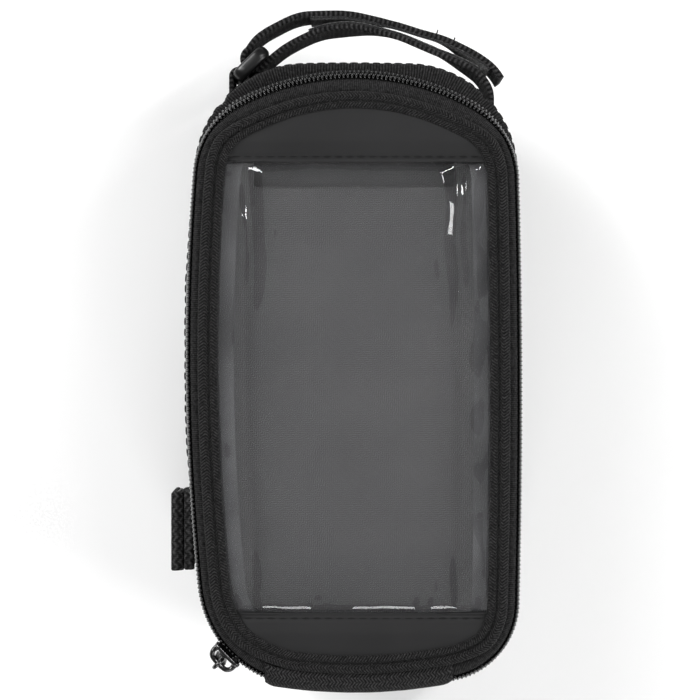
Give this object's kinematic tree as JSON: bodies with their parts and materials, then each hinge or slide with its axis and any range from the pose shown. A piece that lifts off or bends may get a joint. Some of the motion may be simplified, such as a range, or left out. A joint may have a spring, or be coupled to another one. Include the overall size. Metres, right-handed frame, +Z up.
{
  "type": "tank bag",
  "caption": "Narrow soft bag with rounded ends and a zipped hinged lid that holds a clear phone window, with a head strap through a ring and a base strap.",
  "frame": {"origin": "centre of the underside of the base pad, on the surface the bag rests on", "axes": "+Z up towards the lid, +Y forward towards the head strap, +X to the rider's right"},
  "size_m": [0.1093, 0.2085, 0.094],
  "materials": {
    "shell_fabric": "satin coated woven polyester",
    "piping_fabric": "coarse woven edging",
    "lining_fabric": "thin grey twill nylon",
    "webbing": "ribbed polyester webbing",
    "hook_and_loop": "fuzzy hook-and-loop tape",
    "foam": "closed-cell foam sheet",
    "zip_tape": "finely ribbed tape",
    "zip_teeth": "shiny black nylon coil",
    "grip_pad": "matt non-slip",
    "stiffener": "flexible plastic sheet",
    "reflective_tape": "silver-grey retroreflective",
    "coated_fabric": "smooth matt coating",
    "clear_film": "glossy flexible clear film",
    "moulded_ring": "smooth moulded plastic",
    "slider_metal": "gloss black"
  },
  "bodies": {
    "tub": {"base_pad": "grip_pad", "base_panel": "shell_fabric", "base_board": "stiffener", "floor_foam": "foam", "floor_lining": "lining_fabric", "front_panel": "shell_fabric", "rear_panel": "shell_fabric", "left_panel": "shell_fabric", "right_panel": "shell_fabric", "wall_foam": "foam", "wall_lining": "lining_fabric", "rim_binding": "shell_fabric", "reflective_left": "reflective_tape", "reflective_right": "reflective_tape", "zip_tape_lower": "zip_tape", "zip_teeth_lower": "zip_teeth", "hinge_strip_body": "shell_fabric", "head_strap": "webbing", "head_loop_tape": "hook_and_loop", "head_hook_tape": "hook_and_loop", "head_ring_anchor": "webbing", "base_strap": "webbing", "base_hook_tape": "hook_and_loop"},
    "lid": {"zip_tape_upper": "zip_tape", "zip_teeth_upper": "zip_teeth", "hinge_strip_lid": "shell_fabric", "lid_frame": "foam", "lid_lining": "lining_fabric", "lid_piping": "piping_fabric", "front_patch": "coated_fabric", "rear_patch": "coated_fabric", "window": "clear_film", "pocket_back": "lining_fabric", "flap_hem": "shell_fabric", "pocket_loop_tape": "hook_and_loop"},
    "flap": {"pocket_flap": "shell_fabric", "flap_hook_tape": "hook_and_loop"},
    "slider": {"zip_slider": "slider_metal"},
    "pull": {"zip_pull": "slider_metal"},
    "head_ring": {"head_ring": "moulded_ring"},
    "base_ring": {"base_ring": "moulded_ring"}
  },
  "joints": [
    {"name": "lid_hinge", "type": "hinge", "parent": "tub", "child": "lid", "pos_m": [0, -0.0948, 0.0886], "axis": [1, 0, 0], "range_deg": [0, 110]},
    {"name": "pocket_flap", "type": "hinge", "parent": "lid", "child": "flap", "pos_m": [0, 0.051, 0.0798], "axis": [-1, 0, 0], "range_deg": [0, 90]},
    {"name": "slider_run", "type": "hinge", "parent": "tub", "child": "slider", "pos_m": [-0.01354, -0.05977, 0.0865], "axis": [0, 0, 1], "range_deg": [-27, 11]},
    {"name": "pull_swing", "type": "hinge", "parent": "slider", "child": "pull", "pos_m": [-0.04131, -0.08658, 0.0865], "axis": [-0.6947, 0.7193, 0], "range_deg": [0, 110]},
    {"name": "head_ring_swing", "type": "hinge", "parent": "tub", "child": "head_ring", "pos_m": [-0.0356, 0.0934, 0.06], "axis": [0, 0, 1], "range_deg": [-2, 7]},
    {"name": "base_ring_swing", "type": "hinge", "parent": "tub", "child": "base_ring", "pos_m": [0.036, -0.049, 0.003], "axis": [0, 1, 0], "range_deg": [0, 90]}
  ]
}
